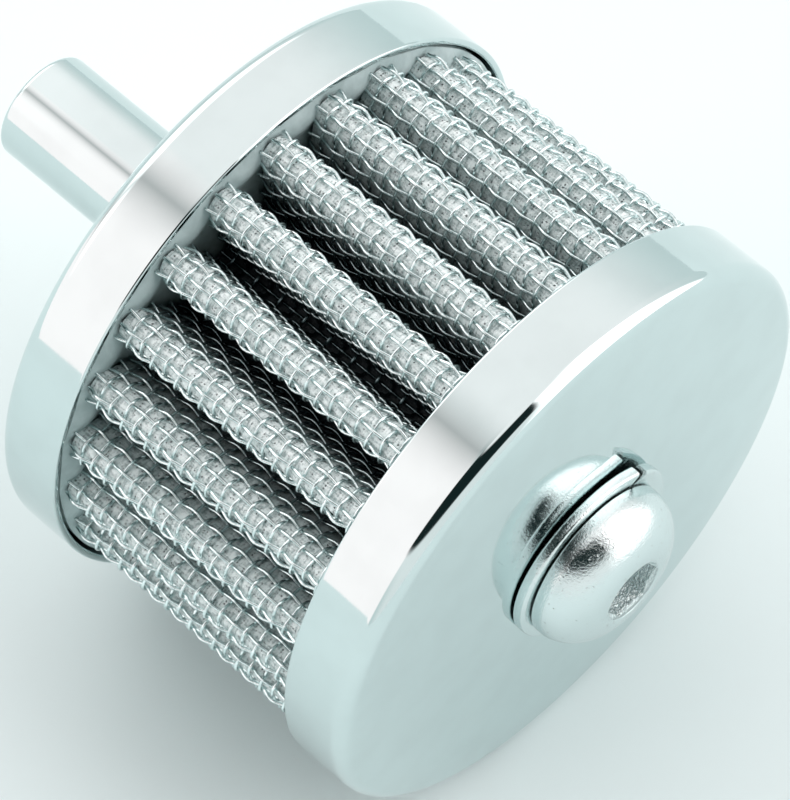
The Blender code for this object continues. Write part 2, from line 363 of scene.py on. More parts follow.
def skin(rows, close_rows=True, close_columns=True, cap=False):
    """A mesh over rows of points, all as long as the first."""
    width = len(rows[0])
    points = [point for row in rows for point in row]
    faces = []
    for row in range(len(rows) if close_rows else len(rows) - 1):
        here = row * width
        after = (row + 1) % len(rows) * width
        for column in range(width if close_columns else width - 1):
            beside = (column + 1) % width
            faces.append((here + column, here + beside, after + beside, after + column))
    if cap:
        faces.append(tuple(range(width)))
        faces.append(tuple((len(rows) - 1) * width + column for column in range(width)))
    mesh = bpy.data.meshes.new("skin")
    mesh.from_pydata(points, [], faces)
    return mesh


def turned(outline, steps):
    """Turn a closed outline of (radius, y) points about the axis."""
    rows = [[round_axis(r, 2 * math.pi * step / steps, y) for r, y in outline] for step in range(steps)]
    return skin(rows)


def cut_away(piece, tools):
    """Cut the tools out of the piece and throw them away."""
    for tool in tools:
        boolean = piece.modifiers.new("cut", "BOOLEAN")
        boolean.operation = "DIFFERENCE"
        boolean.object = tool
    mesh = bpy.data.meshes.new_from_object(piece.evaluated_get(bpy.context.evaluated_depsgraph_get()))
    name = piece.name
    for unwanted in [piece, *tools]:
        bpy.data.objects.remove(unwanted, do_unlink=True)
    return new_piece(name, mesh)


def finished(piece, finish, body, slot, *stands_for):
    """Give a piece its finish and its body and hide the CAD nodes that it stands for; slot is not used."""
    if finish:
        piece.data.materials.clear()
        piece.data.materials.append(finish.material)
    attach(piece, body)
    if stands_for:
        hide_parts(*stands_for)


# ---- Finishes ----

def chrome_finish(name, haze, ripple):
    """Bright chrome: a mirror with a faint haze, fine draw marks round the axis and soft ripples."""
    finish = Finish(name, Metallic=1.0)
    bench = finish.bench
    place = finish.place()
    marks = bench.noise(bench.stretched(place, (0.25, 9.0, 0.25)), 1.0, 4.0, 0.6)
    clouds = bench.noise(place, 0.22, 3.0)
    dulled = tuple(0.96 * level for level in CHROME_COLOUR)
    finish.feed("Base Color", bench.mix(clouds.between(0.35, 0.7), CHROME_COLOUR, dulled))
    finish.feed("Roughness", haze + 0.03 * marks + 0.03 * clouds.between(0.4, 0.8))
    swell = bench.noise(place, 0.16, 1.0)
    finish.feed("Normal", bench.bump(swell * ripple + marks * 0.02 * ripple, MM))
    return finish


def plating_finish():
    """Bright plating over a forged head and a coiled washer: uneven, grainy, with small pits."""
    finish = Finish("bright_screw_plating", Metallic=1.0)
    bench = finish.bench
    place = finish.place()
    lumps = bench.noise(place, 0.9, 2.0, 0.5)
    grain = bench.noise(place, 5.5, 2.0, 0.7)
    pits = bench.noise(place, 3.2, 2.0).between(0.66, 0.74)
    x, y, z = (bench.axis(place, name) for name in "XYZ")
    radius = (x * x + z * z) ** 0.5
    in_socket = radius.between(3.05, 2.75) * y.between(HEAD_TOP / MM + 0.02, HEAD_TOP / MM + 0.2)
    burrs = bench.noise(place, 2.6, 3.0, 0.7) * in_socket
    finish.feed("Base Color", bench.mix(pits * 0.5, (0.66, 0.75, 0.75), (0.34, 0.40, 0.40)))
    finish.feed("Roughness", 0.11 + 0.10 * grain + 0.15 * pits)
    finish.feed("Normal", bench.bump(lumps * 0.03 + grain * 0.03 - pits * 0.01 + burrs * 0.35, MM))
    return finish


def wire_finish():
    """Drawn bright wire, its colour darkened down in the valleys as painted shade."""
    finish = Finish("drawn_wire", Metallic=1.0)
    bench = finish.bench
    place = finish.place()
    x, z = bench.axis(place, "X"), bench.axis(place, "Z")
    # painted shade: the wire's colour turns dark towards the valley bottoms, by radius from the axis
    depth = ((x * x + z * z) ** 0.5).between(17.0, 22.8)
    patches = bench.noise(place, 1.7, 3.0, 0.6)
    outside = bench.mix(patches.between(0.35, 0.7), (0.80, 0.91, 0.91), (0.54, 0.65, 0.65))
    finish.feed("Base Color", bench.mix(depth, (0.22, 0.29, 0.30), outside))
    finish.feed("Roughness", 0.10 + 0.12 * patches)
    finish.feed("Normal", bench.bump(bench.noise(place, 12.0, 2.0), 0.01 * MM))
    return finish


def gauze_finish():
    """Loose cotton gauze: slubby threads both ways with pinholes between them, and painted shade down in the
    valleys.
    """
    finish = Finish("cotton_gauze", Roughness=0.95, Sheen_Weight=0.2, Sheen_Roughness=0.5)
    bench = finish.bench
    threads = finish.on_sheet()
    wander = bench.noise(threads, 0.35, 2.0)
    across = bench.axis(threads, "X") + 1.1 * wander
    along = bench.axis(threads, "Y") + 1.1 * wander
    warp = (across * (math.pi * 0.75)).sine().size()
    weft = (along * (math.pi * 0.75)).sine().size()
    cloth = warp.highest(weft)
    slubs_along = bench.noise(bench.stretched(threads, (0.9, 0.22, 1.0)), 1.0, 3.0, 0.65)
    slubs_across = bench.noise(bench.stretched(threads, (0.22, 0.9, 1.0)), 1.0, 3.0, 0.65)
    thin = (slubs_along * slubs_across).between(0.27, 0.15)
    missing = bench.noise(bench.stretched(threads, (0.5, 0.5, 1.0)), 1.0, 2.0).between(0.54, 0.66)
    hole = (1 - cloth).between(0.12, 0.45) * missing
    place = finish.place()
    x, z = bench.axis(place, "X"), bench.axis(place, "Z")
    # painted shade: the gauze's colour goes nearly black towards the valley bottoms, by radius from the axis
    depth = ((x * x + z * z) ** 0.5).between(18.0, 23.4)
    fibre = bench.mix(thin, (0.84, 0.95, 0.945), (0.42, 0.53, 0.53))
    # painted shade: the pinholes get a nearly black colour for the dark space seen through them
    cotton = bench.mix(hole, fibre, (0.07, 0.095, 0.10))
    finish.feed("Base Color", bench.mix(depth, (0.035, 0.05, 0.055), cotton))
    finish.feed("Normal", bench.bump(cloth * 0.5 - thin * 0.5 - hole, 0.07 * MM))
    return finish


def sealant_finish():
    """Poured grey compound with a soft skin."""
    finish = Finish("poured_sealant", Specular_IOR_Level=0.5)
    bench = finish.bench
    place = finish.place()
    clouds = bench.noise(place, 0.7, 3.0)
    finish.feed("Base Color", bench.mix(clouds.between(0.3, 0.7), (0.48, 0.60, 0.60), (0.38, 0.49, 0.49)))
    finish.feed("Roughness", 0.34 + 0.2 * clouds)
    finish.feed("Normal", bench.bump(bench.noise(place, 2.2, 2.0), 0.03 * MM))
    return finish


def turned_steel_finish():
    """Satin steel with fine turning marks round the axis."""
    finish = Finish("turned_steel", Metallic=1.0)
    bench = finish.bench
    place = finish.place()
    rings = bench.noise(bench.stretched(place, (0.3, 14.0, 0.3)), 1.0, 3.0)
    finish.feed("Base Color", bench.mix(rings, (0.50, 0.52, 0.52), (0.62, 0.64, 0.64)))
    finish.feed("Roughness", 0.24 + 0.2 * rings)
    finish.feed("Normal", bench.bump(rings, 0.02 * MM))
    return finish


def fibre_finish():
    """Matt brown vulcanised fibre."""
    finish = Finish("fibre_washer", Metallic=0.0)
    bench = finish.bench
    place = finish.place()
    flecks = bench.noise(place, 5.0, 4.0, 0.7)
    finish.feed("Base Color", bench.mix(flecks, (0.20, 0.11, 0.07), (0.38, 0.24, 0.16)))
    finish.feed("Roughness", 0.7 + 0.2 * flecks)
    finish.feed("Normal", bench.bump(flecks, 0.05 * MM))
    return finish


def inner_mesh_finish():
    """Woven wire drawn on a thin sheet, for the hidden inner mesh, with painted shade in the gaps between
    the wires.
    """
    finish = Finish("inner_woven_wire", Metallic=1.0)
    bench = finish.bench
    place = finish.place()
    hoops = (bench.axis(place, "Y") * (math.pi / 1.27)).cosine().size()
    gap = hoops.between(0.2, 0.5)
    # painted shade: the gaps between the drawn wires are coloured dark
    finish.feed("Base Color", bench.mix(gap, (0.62, 0.65, 0.65), (0.14, 0.16, 0.16)))
    finish.feed("Roughness", 0.3 + 0.3 * gap)
    finish.feed("Normal", bench.bump(hoops, 0.1 * MM))
    return finish


CHROME = chrome_finish("bright_chrome", 0.035, 0.02)
TUBE_CHROME = chrome_finish("bright_tube_chrome", 0.05, 0.01)
PLATING = plating_finish()
WIRE = wire_finish()
GAUZE = gauze_finish()
SEALANT = sealant_finish()
STEEL = turned_steel_finish()
FIBRE = fibre_finish()
INNER_MESH = inner_mesh_finish()


# ---- Cups ----

def cup_outline(hole, height):
    """Half section of a cup with its face at 0 and its lip at height, from the hole outwards and back."""
    centre = (CUP_RADIUS - CUP_EDGE, CUP_EDGE)
    face_width = centre[0] - hole
    outside = arc((hole + HOLE_ROUND, HOLE_ROUND), HOLE_ROUND, 180, 270, 3)
    outside += [(hole + face_width * ring / FACE_RINGS, 0) for ring in range(1, FACE_RINGS)]
    outside.append((centre[0] - SUPPORT, 0))
    outside += arc(centre, CUP_EDGE, 270, 360, 14)
    outside.append((CUP_RADIUS, CUP_EDGE + SUPPORT))
    outside.append((CUP_RADIUS, height - LIP_ROUND - SUPPORT))
    outside += arc((CUP_RADIUS - LIP_ROUND, height - LIP_ROUND), LIP_ROUND, 0, 90, 4)
    inner_radius = CUP_RADIUS - CUP_WALL
    inside = arc((inner_radius + LIP_ROUND, height - LIP_ROUND), LIP_ROUND, 90, 180, 4)
    inside.append((inner_radius, CUP_EDGE + SUPPORT))
    inside += arc(centre, CUP_EDGE - CUP_WALL, 360, 270, 6)
    inside += [(hole + face_width * ring / FACE_RINGS, CUP_WALL) for ring in range(FACE_RINGS - 1, -1, -1)]
    return outside + inside


def make_cups():
    """Both cups; the front one's face is slightly crowned."""
    front = []
    for radius, y in cup_outline(SCREW_HOLE, FRONT_LIP - FRONT_FACE):
        roll_off = EDGE_ROLL * max(0, (radius - ROLL_START) / (CUP_RADIUS - ROLL_START)) ** 3
        if y > 2 * CUP_EDGE:
            roll_off = 0
        front.append((radius, FRONT_FACE + y - max(0, crown(radius)) + roll_off))
    rear = [(r, REAR_FACE - y) for r, y in cup_outline(STEM_HOLE, REAR_FACE - REAR_LIP)]
    finished(new_piece("front_cup", turned(front, CUP_STEPS)), CHROME, "filter", "chrome", "front_cap")
    finished(new_piece("rear_cup", turned(rear, CUP_STEPS)), CHROME, "filter", "chrome", "rear_cap")


# ---- Stem ----

def drill(radius, length, turn, y):
    work = bmesh.new()
    bmesh.ops.create_cone(work, cap_ends=True, segments=32, radius1=radius, radius2=radius, depth=length)
    mesh = bpy.data.meshes.new("drill")
    work.to_mesh(mesh)
    work.free()
    mesh.transform(Matrix.Translation((0, y, 0)) @ Matrix.Rotation(turn, 4, "Y"))
    tool = bpy.data.objects.new("drill", mesh)
    bpy.context.scene.collection.objects.link(tool)
    return tool


def make_stem_tube():
    round_off = TUBE_END_ROUND
    step = TUBE_TOP + TAPPED_LENGTH
    outline = arc((TUBE_RADIUS - round_off, TUBE_END - round_off), round_off, 0, 90, 8)
    outline += arc((TUBE_BORE + BORE_ROUND, TUBE_END - BORE_ROUND), BORE_ROUND, 90, 180, 4)
    outline += [(TUBE_BORE, step + TAPPED_BORE - TUBE_BORE), (TAPPED_BORE, step), (TAPPED_BORE, TUBE_TOP)]
    outline += [(TUBE_RADIUS, TUBE_TOP), (TUBE_RADIUS, TUBE_END - round_off - SUPPORT)]
    tube = new_piece("stem_tube_bright", turned(outline, 96))
    holes = []
    for number, y in enumerate(AIR_HOLE_PLACES):
        holes.append(drill(AIR_HOLE_RADIUS, 4 * TUBE_RADIUS, math.radians(90 * (number % 2) + 11), y))
    finished(cut_away(tube, holes), TUBE_CHROME, "filter", "chrome", "stem_tube")


# ---- Pleats ----

def pleat_curve(depth, crest_steps, valley_steps):
    """The closed pleated line round the axis at this depth: a list of (x, z)."""
    crest_centre = CREST_TIP - CREST_ROUND
    crest = CREST_ROUND - depth
    valley = VALLEY_ROUND + depth
    half_pitch = math.pi / PLEATS
    across = VALLEY_CENTRE * math.sin(half_pitch)
    along = crest_centre - VALLEY_CENTRE * math.cos(half_pitch)
    lean = math.asin((crest + valley) / math.hypot(across, along)) - math.atan2(across, along)
    points = []
    for pleat in range(PLEATS):
        middle = FIRST_CREST + 2 * half_pitch * pleat
        for step in range(crest_steps + 1):
            angle = middle + (2 * step / crest_steps - 1) * (math.pi / 2 - lean)
            points.append(polar_sum(crest_centre, middle, crest, angle))
        valley_middle = middle + half_pitch
        sweep = math.pi / 2 - lean - half_pitch
        for step in range(valley_steps + 1):
            angle = valley_middle + math.pi + (1 - 2 * step / valley_steps) * sweep
            points.append(polar_sum(VALLEY_CENTRE, valley_middle, valley, angle))
    return points


def polar_sum(radius_a, angle_a, radius_b, angle_b):
    x = radius_a * math.cos(angle_a) + radius_b * math.cos(angle_b)
    z = radius_a * math.sin(angle_a) + radius_b * math.sin(angle_b)
    return (x, z)


def even_points(line, count):
    """The closed line walked in equal steps from its first crest: (x, z, outward x, outward z)."""
    line = line[4:] + line[:4]
    lengths = [0.0]
    for (x, z), (next_x, next_z) in zip(line, line[1:] + line[:1]):
        lengths.append(lengths[-1] + math.hypot(next_x - x, next_z - z))
    points = []
    edge = 0
    for step in range(count):
        goal = lengths[-1] * step / count
        while lengths[edge + 1] <= goal:
            edge += 1
        share = (goal - lengths[edge]) / (lengths[edge + 1] - lengths[edge])
        x, z = line[edge]
        next_x, next_z = line[(edge + 1) % len(line)]
        points.append((x + (next_x - x) * share, z + (next_z - z) * share))
    walked = []
    for step, (x, z) in enumerate(points):
        before_x, before_z = points[step - 1]
        after_x, after_z = points[(step + 1) % count]
        length = math.hypot(after_x - before_x, after_z - before_z)
        walked.append((x, z, (after_z - before_z) / length, (before_x - after_x) / length))
    return walked


def make_gauze(name, node, depth, puffed):
    """Half-round sheets of gauze behind the wire, puffed out through each opening of the weave."""
    count = LENGTHWISE_WIRES * SAMPLES_IN_A_CELL
    line = pleat_curve(depth, 8, 6)
    walked = even_points(line, count)
    levels = (HOOPS + 1) * SAMPLES_IN_A_CELL + 1
    half = count // 2
    for number in range(2):
        rows = []
        for step in range(number * half, number * half + half + 1):
            x, z, out_x, out_z = walked[step % count]
            across = math.sin(math.pi * step / SAMPLES_IN_A_CELL) ** 2
            row = []
            for level in range(levels):
                along = math.sin(math.pi * level / SAMPLES_IN_A_CELL) ** 2
                y = FIRST_HOOP + (level / SAMPLES_IN_A_CELL - 1) * HOOP_PITCH
                slack = 0.6 + 0.8 * noise.noise(Vector((x, y, z)) / (1.1 * MM))
                puff = puffed * across * along * slack
                row.append((x + out_x * puff, min(max(y, MESH_LOW.y), MESH_HIGH.y), z + out_z * puff))
            rows.append(row)
        mesh = skin(rows, close_rows=False, close_columns=False)
        threads = HOOP_PITCH / THREAD_PITCH / SAMPLES_IN_A_CELL
        sheet = mesh.uv_layers.new(name="threads")
        for loop in mesh.loops:
            row, level = divmod(loop.vertex_index, levels)
            sheet.data[loop.index].uv = ((row + number * half) * threads, level * threads)
        piece = new_piece(f"{name}_{number + 1}", mesh, 180)
        face_outwards(piece)
        finished(piece, GAUZE, "filter", "gauze", node)


def face_outwards(piece):
    """Turn an open pleated sheet so that its outer side shows."""
    mesh = piece.data
    outward = 0.0
    for face in mesh.polygons:
        if Vector((face.center.x, face.center.z)).length > CREST_TIP - CREST_ROUND:
            outward += face.normal.x * face.center.x + face.normal.z * face.center.z
    if outward < 0:
        mesh.flip_normals()


# ---- Woven wire ----

def weave_tree(name, build):
    """A Geometry Nodes tree with the weave's named sizes; build returns its last geometry."""
    tree = bpy.data.node_groups.new(name, "GeometryNodeTree")
    face = tree.interface
    face.new_socket("Geometry", in_out="INPUT", socket_type="NodeSocketGeometry")
    for size in ("Wire Radius", "Bow", "Hoop Pitch", "First Hoop", "Unevenness"):
        face.new_socket(size, in_out="INPUT", socket_type="NodeSocketFloat")
    for number in ("Wires", "First", "Last", "Hoops", "Seed"):
        face.new_socket(number, in_out="INPUT", socket_type="NodeSocketInt")
    face.new_socket("Finish", in_out="INPUT", socket_type="NodeSocketMaterial")
    face.new_socket("Geometry", in_out="OUTPUT", socket_type="NodeSocketGeometry")
    bench = Bench(tree)
    given = bench.node("NodeGroupInput")
    wires = build(bench, given)
    place = bench.node("GeometryNodeInputPosition")
    seed = given.other("Seed")
    drift_sockets = {"Vector": place, "W": seed, "Scale": UNEVEN_SCALE, "Detail": 1.0}
    drift = bench.node("ShaderNodeTexNoise", {"noise_dimensions": "4D"}, drift_sockets, "Color")
    centred = vector(bench, "SUBTRACT", drift, (0.5, 0.5, 0.5))
    offset = vector(bench, "SCALE", centred, Scale=given.other("Unevenness"))
    uneven = bench.node("GeometryNodeSetPosition", None, {"Geometry": wires, "Offset": offset})
    smooth = bench.node("GeometryNodeSetShadeSmooth", None, {"Geometry": uneven})
    coat = {"Geometry": smooth, "Material": given.other("Finish")}
    coated = bench.node("GeometryNodeSetMaterial", None, coat)
    bench.node("NodeGroupOutput", None, {"Geometry": coated})
    return tree


def vector(bench, operation, *vectors, **scalars):
    sockets = dict(enumerate(vectors))
    sockets.update(scalars)
    return bench.node("ShaderNodeVectorMath", {"operation": operation}, sockets)


def swept(bench, path, given):
    """Sweep the wire's round section along a path."""
    circle = {"Resolution": WIRE_SIDES, "Radius": given.other("Wire Radius")}
    section = bench.node("GeometryNodeCurvePrimitiveCircle", None, circle)
    sockets = {"Curve": path, "Profile Curve": section, "Fill Caps": True}
    return bench.node("GeometryNodeCurveToMesh", None, sockets)


def lengthwise_wires(bench, given):
    """Wires that run along the filter, one at each equal step of the pleated line, alternately bowed."""
    pitch = given.other("Hoop Pitch")
    count = {"Curve": given.other("Geometry"), "Count": given.other("Wires")}
    points = bench.node("GeometryNodeCurveToPoints", {"mode": "COUNT"}, count)
    index = bench.node("GeometryNodeInputIndex")
    outward = vector(bench, "CROSS_PRODUCT", (0.0, 1.0, 0.0), points.other("Tangent"))
    odd = (index % 2).above(0.5)
    side = vector(bench, "SCALE", outward, Scale=1 - 2 * odd)
    turn = {"Primary Axis": (0.0, 1.0, 0.0), "Secondary Axis": side}
    rotation = bench.node("FunctionNodeAxesToRotation", {"primary_axis": "Y", "secondary_axis": "X"}, turn)
    samples = (given.other("Hoops") + 1) * SAMPLES_IN_A_CELL + 1
    step = bench.node("ShaderNodeCombineXYZ", None, {"Y": pitch / SAMPLES_IN_A_CELL})
    start = bench.node("ShaderNodeCombineXYZ", None, {"Y": given.other("First Hoop") - pitch})
    rail_sockets = {"Count": samples, "Start Location": start, "Offset": step}
    rail = bench.node("GeometryNodeMeshLine", {"mode": "OFFSET"}, rail_sockets)
    place = bench.node("GeometryNodeInputPosition")
    wave = ((bench.axis(place, "Y") - given.other("First Hoop")) / pitch * math.pi).cosine()
    bow = bench.node("ShaderNodeCombineXYZ", None, {"X": wave * given.other("Bow")})
    bent = bench.node("GeometryNodeSetPosition", None, {"Geometry": rail, "Offset": bow})
    path = bench.node("GeometryNodeMeshToCurve", None, {"Mesh": bent})
    wire = swept(bench, path, given)
    after = bench.node("FunctionNodeCompare", {"data_type": "INT", "operation": "GREATER_EQUAL"},
                       {"A": index, "B": given.other("First")})
    before = bench.node("FunctionNodeCompare", {"data_type": "INT", "operation": "LESS_THAN"},
                        {"A": index, "B": given.other("Last")})
    chosen = bench.node("FunctionNodeBooleanMath", {"operation": "AND"}, {0: after, 1: before})
    placed = {"Points": points, "Selection": chosen, "Instance": wire, "Rotation": rotation}
    copies = bench.node("GeometryNodeInstanceOnPoints", None, placed)
    return bench.node("GeometryNodeRealizeInstances", None, {"Geometry": copies})


def hoop_wires(bench, given):
    """Wires that follow the pleats round the filter, each bowed against the next."""
    pitch = given.other("Hoop Pitch")
    samples = given.other("Wires") * SAMPLES_IN_A_CELL
    even = {"Curve": given.other("Geometry"), "Count": samples}
    walked = bench.node("GeometryNodeResampleCurve", {"mode": "COUNT"}, even)
    index = bench.node("GeometryNodeInputIndex")
    tangent = bench.node("GeometryNodeInputTangent")
    outward = vector(bench, "CROSS_PRODUCT", (0.0, 1.0, 0.0), tangent)
    wave = (index / SAMPLES_IN_A_CELL * math.pi).cosine() * given.other("Bow")
    first = given.other("First")
    hoops = []
    for parity in range(2):
        sign = 1 - 2 * ((first + parity) % 2)
        shift = vector(bench, "SCALE", outward, Scale=-1 * wave * sign)
        bent = bench.node("GeometryNodeSetPosition", None, {"Geometry": walked, "Offset": shift})
        wire = swept(bench, bent, given)
        first_y = given.other("First Hoop") + pitch * (first + parity)
        start = bench.node("ShaderNodeCombineXYZ", None, {"Y": first_y})
        step = bench.node("ShaderNodeCombineXYZ", None, {"Y": pitch * 2})
        number = (given.other("Last") - first - parity + 1) / 2
        whole = number.math("FLOOR", number)
        rail_sockets = {"Count": whole, "Start Location": start, "Offset": step}
        levels = bench.node("GeometryNodeMeshLine", {"mode": "OFFSET"}, rail_sockets)
        copies = bench.node("GeometryNodeInstanceOnPoints", None, {"Points": levels, "Instance": wire})
        hoops.append(bench.node("GeometryNodeRealizeInstances", None, {"Geometry": copies}))
    joined = bench.tree.nodes.new("GeometryNodeJoinGeometry")
    for hoop in hoops:
        bench.tree.links.new(hoop.socket, joined.inputs[0])
    return Flow(bench, joined.outputs[0])


def woven_piece(name, tree, line, first, last):
    """Run a weave tree on the pleated line and keep the plain mesh."""
    curve = bpy.data.curves.new(name + "_line", "CURVE")
    curve.dimensions = "3D"
    spline = curve.splines.new("POLY")
    spline.points.add(len(line) - 1)
    for point, (x, z) in zip(spline.points, line):
        point.co = (x, 0, z, 1)
    spline.use_cyclic_u = True
    source = bpy.data.objects.new(name + "_line", curve)
    bpy.context.scene.collection.objects.link(source)
    modifier = source.modifiers.new("weave", "NODES")
    modifier.node_group = tree
    sizes = {
        "Wire Radius": WIRE_RADIUS,
        "Bow": WIRE_BOW,
        "Hoop Pitch": HOOP_PITCH,
        "First Hoop": FIRST_HOOP,
        "Unevenness": UNEVEN,
        "Wires": LENGTHWISE_WIRES,
        "First": first,
        "Last": last,
        "Hoops": HOOPS,
        "Seed": 7,
        "Finish": WIRE.material,
    }
    for socket in tree.interface.items_tree:
        if socket.in_out == "INPUT" and socket.name in sizes:
            modifier[socket.identifier] = sizes[socket.name]
    source.update_tag()
    mesh = bpy.data.meshes.new_from_object(source.evaluated_get(bpy.context.evaluated_depsgraph_get()))
    source.modifiers.remove(modifier)
    bpy.data.objects.remove(source, do_unlink=True)
    mesh.name = name
    piece = bpy.data.objects.new(name, mesh)
    bpy.context.scene.collection.objects.link(piece)
    finished(piece, None, "filter", "wire", "outer_wire_mesh")


def make_weave():
    line = pleat_curve(WEAVE_DEPTH, 16, 8)
    line = line[8:] + line[:8]
    lengthwise = weave_tree("lengthwise_wires", lengthwise_wires)
    hoops = weave_tree("hoop_wires", hoop_wires)
    groups = 3
    for group in range(groups):
        first = LENGTHWISE_WIRES * group // groups
        last = LENGTHWISE_WIRES * (group + 1) // groups
        woven_piece(f"lengthwise_wires_{group + 1}", lengthwise, line, first, last)
        first = HOOPS * group // groups
        last = HOOPS * (group + 1) // groups
        woven_piece(f"hoop_wires_{group + 1}", hoops, line, first, last)


# ---- Potting compound ----

def make_sealant(name, cup_face, lip, node, towards):
    """A poured ring in a cup, humped up between the pleats.

    towards is the way out of the cup, +1 or -1 in y.
    """
    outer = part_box(node)[1].x
    bottom = cup_face + towards * SEALANT_BOTTOM
    level = lip - towards * SEALANT_BELOW_LIP
    steps_round = PLEATS * 16
    steps_across = 24
    rows = []
    for step in range(steps_round):
        angle = FIRST_CREST + 2 * math.pi * step / steps_round
        between = 0.5 - 0.5 * math.cos(PLEATS * (angle - FIRST_CREST))
        row = [round_axis(SEALANT_INNER, angle, bottom)]
        for across in range(steps_across + 1):
            radius = SEALANT_INNER + (outer - SEALANT_INNER) * across / steps_across
            rise = math.exp(-((radius - HUMP_PLACE) / HUMP_WIDTH) ** 2)
            wobble = 0.5 + 0.9 * noise.noise(Vector((math.cos(angle), math.sin(angle), 0.3)) * 6)
            height = HUMP_HEIGHT * rise * between ** 0.7 + HUMP_WOBBLE * wobble * rise
            row.append(round_axis(radius, angle, level + towards * height))
        row.append(round_axis(outer, angle, bottom + towards * SEALANT_CORNER))
        row.append(round_axis(outer - SEALANT_CORNER, angle, bottom))
        rows.append(row)
    finished(new_piece(name, skin(rows), 50), SEALANT, "filter", "sealant", node)


# ---- Lock washer ----

def make_lock_washer():
    """A split ring of rounded flat section, its ends sprung outwards and their outer edges flared up."""
    back = WASHER_HIGH.y
    front = WASHER_LOW.y
    sweep = 2 * math.pi - (SPLIT_START - SPLIT_END)
    rows = []
    for step in range(WASHER_STEPS + 1):
        share = step / WASHER_STEPS
        angle = SPLIT_START + sweep * share
        near_end = math.exp(-sweep * (1 - share) / SPRUNG_OVER)
        near_start = math.exp(-sweep * share / START_SPRUNG_OVER)
        sprung = SPRUNG_OUT * near_end + START_SPRUNG_OUT * near_start
        outer = WASHER_OUTER + sprung
        inner = WASHER_INNER + sprung
        worn = WASHER_BACK_EDGE + WASHER_WORN_EDGE * math.exp(-((angle - WORN_AT) / WORN_OVER) ** 2)
        outline = arc((outer - WASHER_FRONT_EDGE, front + WASHER_FRONT_EDGE), WASHER_FRONT_EDGE, 270, 360, 5)
        outline += arc((outer - worn, back - worn), worn, 0, 90, 4)
        outline += [(HEAD_RADIUS, back), (inner, back), (inner, front), (HEAD_RADIUS, front)]
        row = []
        for radius, y in outline:
            beyond_head = max(0, (radius - HEAD_RADIUS) / (WASHER_OUTER + SPRUNG_OUT - HEAD_RADIUS))
            row.append(round_axis(radius, angle, y - FLARE * (near_end + 0.5 * near_start) * beyond_head))
        rows.append(row)
    washer = new_piece("split_lock_washer", skin(rows, close_rows=False, cap=True))
    finished(washer, PLATING, "washer_under_head", "screw_plating", "lock_washer")


# ---- Cap screw ----

def make_head():
    """The button head: a dome on a short rim, with a countersunk hexagon socket."""
    rise = HEAD_SEAT - HEAD_TOP - HEAD_RIM
    run = HEAD_RADIUS - HEAD_FLAT
    radius = (rise * rise + run * run) / (2 * rise)
    full = math.degrees(math.asin(min(1.0, run / radius)))
    centre = (HEAD_FLAT, HEAD_TOP + radius)
    rim_round = 0.18 * MM
    outline = [(0, HEAD_TOP)]
    outline += arc(centre, radius, 270, 270 + full - 2, 20)
    outline += [(HEAD_RADIUS, HEAD_SEAT - HEAD_RIM + 0.1 * MM)]
    outline += arc((HEAD_RADIUS - rim_round, HEAD_SEAT - rim_round), rim_round, 0, 90, 4)
    outline += [(THREAD_MINOR - 0.1 * MM, HEAD_SEAT), (0, HEAD_SEAT)]
    rows = [[round_axis(r, 2 * math.pi * step / 144, y) for r, y in outline] for step in range(144)]
    head = new_piece("button_head", skin(rows, close_columns=False))
    corner = SOCKET_ACROSS_FLATS / math.sqrt(3)
    drill_point = 0.8 * MM
    sink_depth = 0.3 * MM
    socket = [(0, -MM), (corner, -MM), (corner, SOCKET_DEPTH), (0, SOCKET_DEPTH + drill_point)]
    sink = [(0, -MM), (corner + MM, -MM), (corner + 0.15 * MM, 0)]
    sink += [(corner - 0.25 * MM, sink_depth), (0, sink_depth)]
    hexagon = hollow("hexagon", socket, 6)
    countersink = hollow("countersink", sink, 72)
    finished(cut_away(head, [hexagon, countersink]), PLATING, "screw", "screw_plating", "cap_screw")


def hollow(name, outline, sides):
    """A cutter turned from (radius, depth below the head's top)."""
    rows = []
    for side in range(sides):
        rows.append([round_axis(r, 2 * math.pi * side / sides, HEAD_TOP + depth) for r, depth in outline])
    return new_piece(name, skin(rows, close_columns=False))


def make_threads():
    """The screw's shank with its right-hand thread, one turn to a pitch."""
    turns = 48
    in_a_pitch = 12
    length = SHANK_TIP - HEAD_SEAT
    pitches = int(length / THREAD_PITCH_SCREW) + 2
    rows = []
    for step in range(turns + 1):
        row = []
        for sample in range(-in_a_pitch, pitches * in_a_pitch + 1):
            height = (sample / in_a_pitch + step / turns) * THREAD_PITCH_SCREW
            y = HEAD_SEAT + min(max(height, -0.2 * MM), length)
            share = sample % in_a_pitch / in_a_pitch
            ridge = min(max(abs(share - 0.5) * 2.6 - 0.3, 0), 1)
            fade = min(max((length - height) / (0.9 * MM), 0), 1)
            radius = THREAD_MINOR + (THREAD_MAJOR - THREAD_MINOR) * ridge * fade
            if height > length - 0.5 * MM:
                radius = min(radius, THREAD_MINOR - 0.6 * (height - length + 0.5 * MM))
            row.append(round_axis(max(radius, SHANK_TIP_RADIUS), -2 * math.pi * step / turns, y))
        rows.append([Vector((0, row[0].y, 0))] + row + [Vector((0, row[-1].y, 0))])
    shank = new_piece("screw_threads", skin(rows, close_rows=False, close_columns=False), 40)
    finished(shank, PLATING, "screw", "screw_plating")


# ---- Hidden pieces that keep their CAD shape ----

def finish_cad_nodes():
    for node, finish in (
        ("inner_wire_mesh", INNER_MESH),
        ("pleat_seam_clip", STEEL),
        ("stem_collar", STEEL),
        ("front_spacer_washer", STEEL),
        ("stem_seal", FIBRE),
    ):
        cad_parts[node].data.materials.clear()
        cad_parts[node].data.materials.append(finish.material)


# ---- Studio ----

STUDIO_STRENGTH = 1.0


